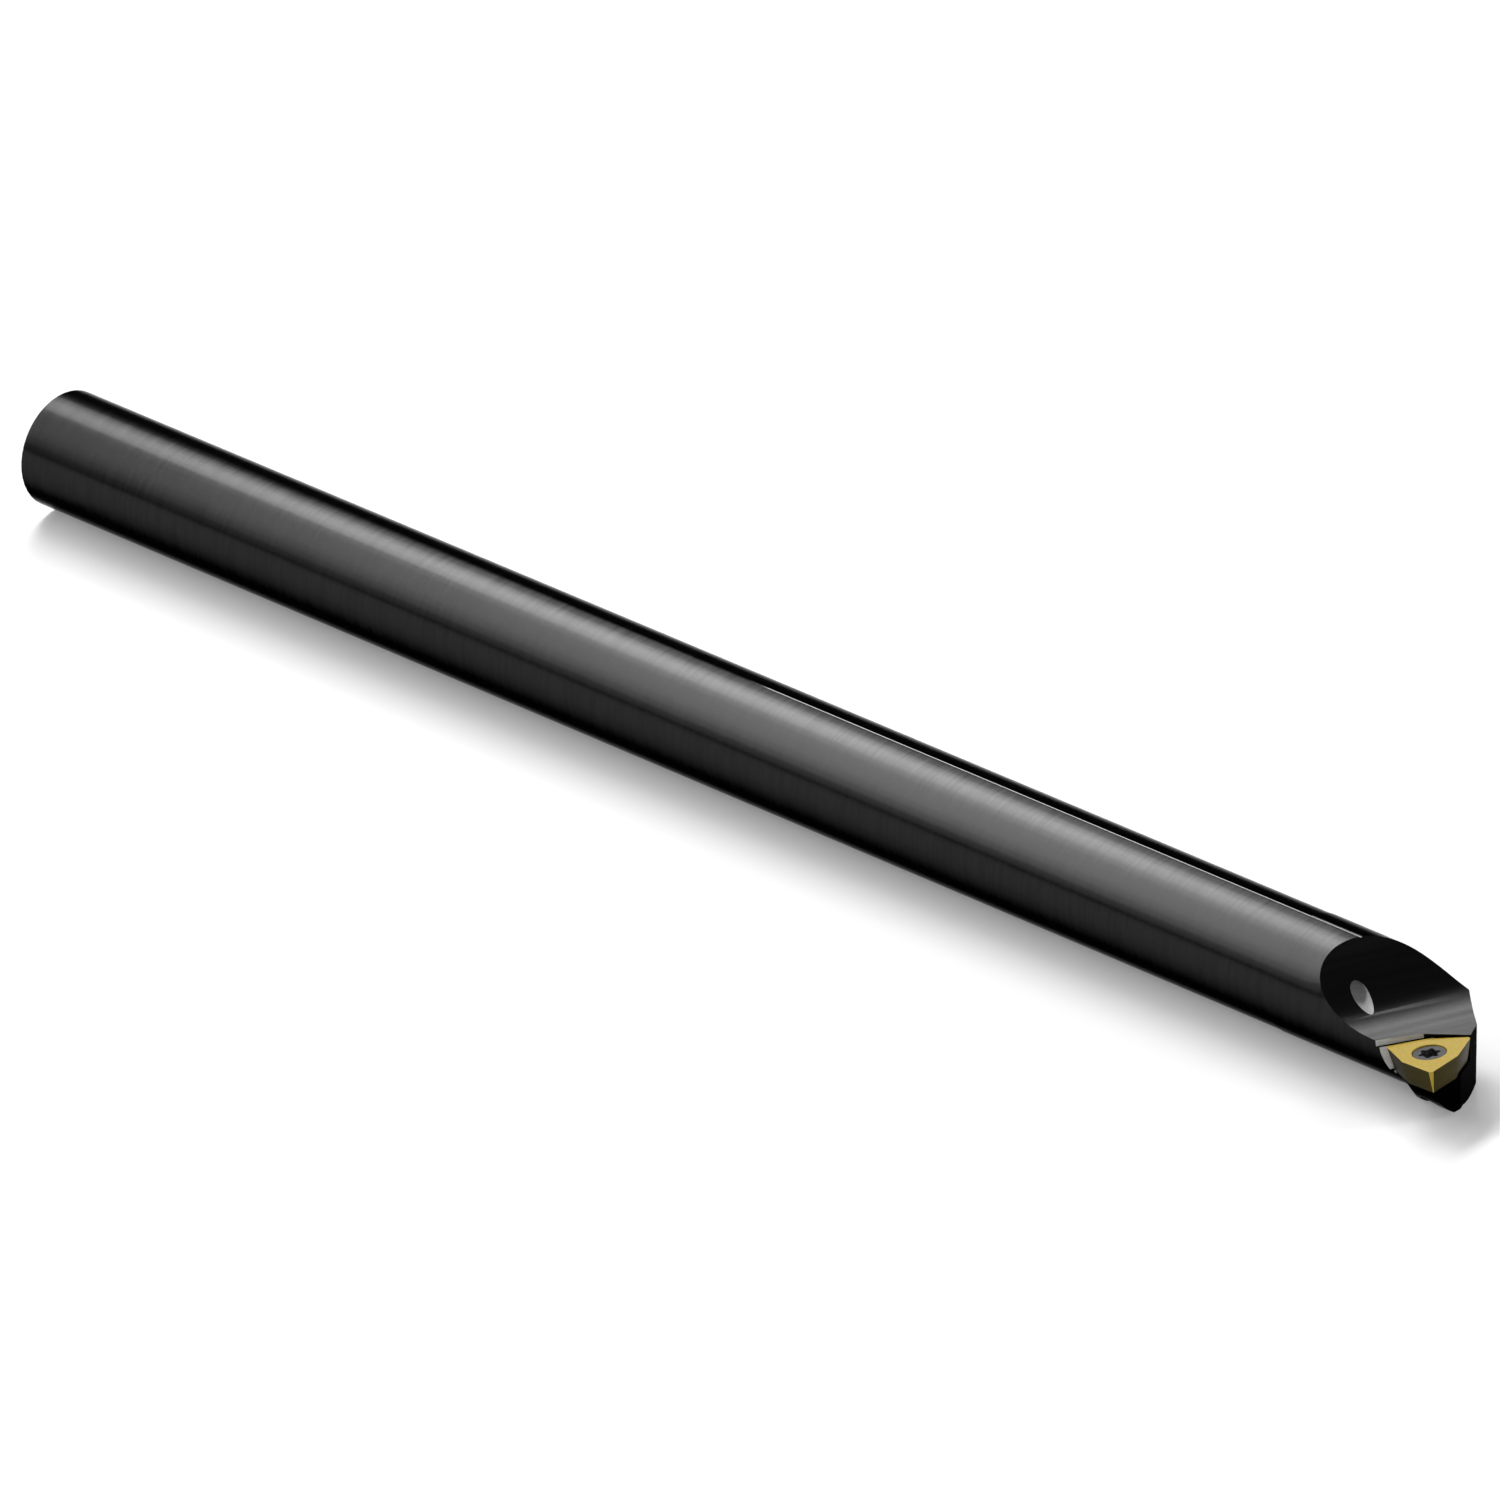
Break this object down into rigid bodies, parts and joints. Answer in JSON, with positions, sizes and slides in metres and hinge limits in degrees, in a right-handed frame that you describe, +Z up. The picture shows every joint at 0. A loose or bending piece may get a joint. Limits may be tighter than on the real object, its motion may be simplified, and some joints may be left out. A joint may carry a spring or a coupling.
{
  "type": "boring bar",
  "caption": "Slim round carbide boring bar with a brazed steel head, gullet, trigon insert held by a countersunk six-lobe screw, and a coolant nozzle aimed at the cutting nose",
  "frame": {"origin": "centre of the shank's rear face", "axes": "+X along the bar to the cutting end, +Z up, out of the insert's top face, the cutting nose stands out on the -Y side"},
  "size_m": [0.127, 0.009, 0.008],
  "materials": {
    "shank_black": "satin black coating on ground carbide",
    "head_black": "satin black oxide on milled steel",
    "insert_coating": "golden nitride coating, satin",
    "screw_steel": "dark hardened steel"
  },
  "bodies": {
    "root": {"shank": "shank_black", "head": "head_black", "insert": "insert_coating", "insert_screw": "screw_steel"}
  },
  "joints": []
}
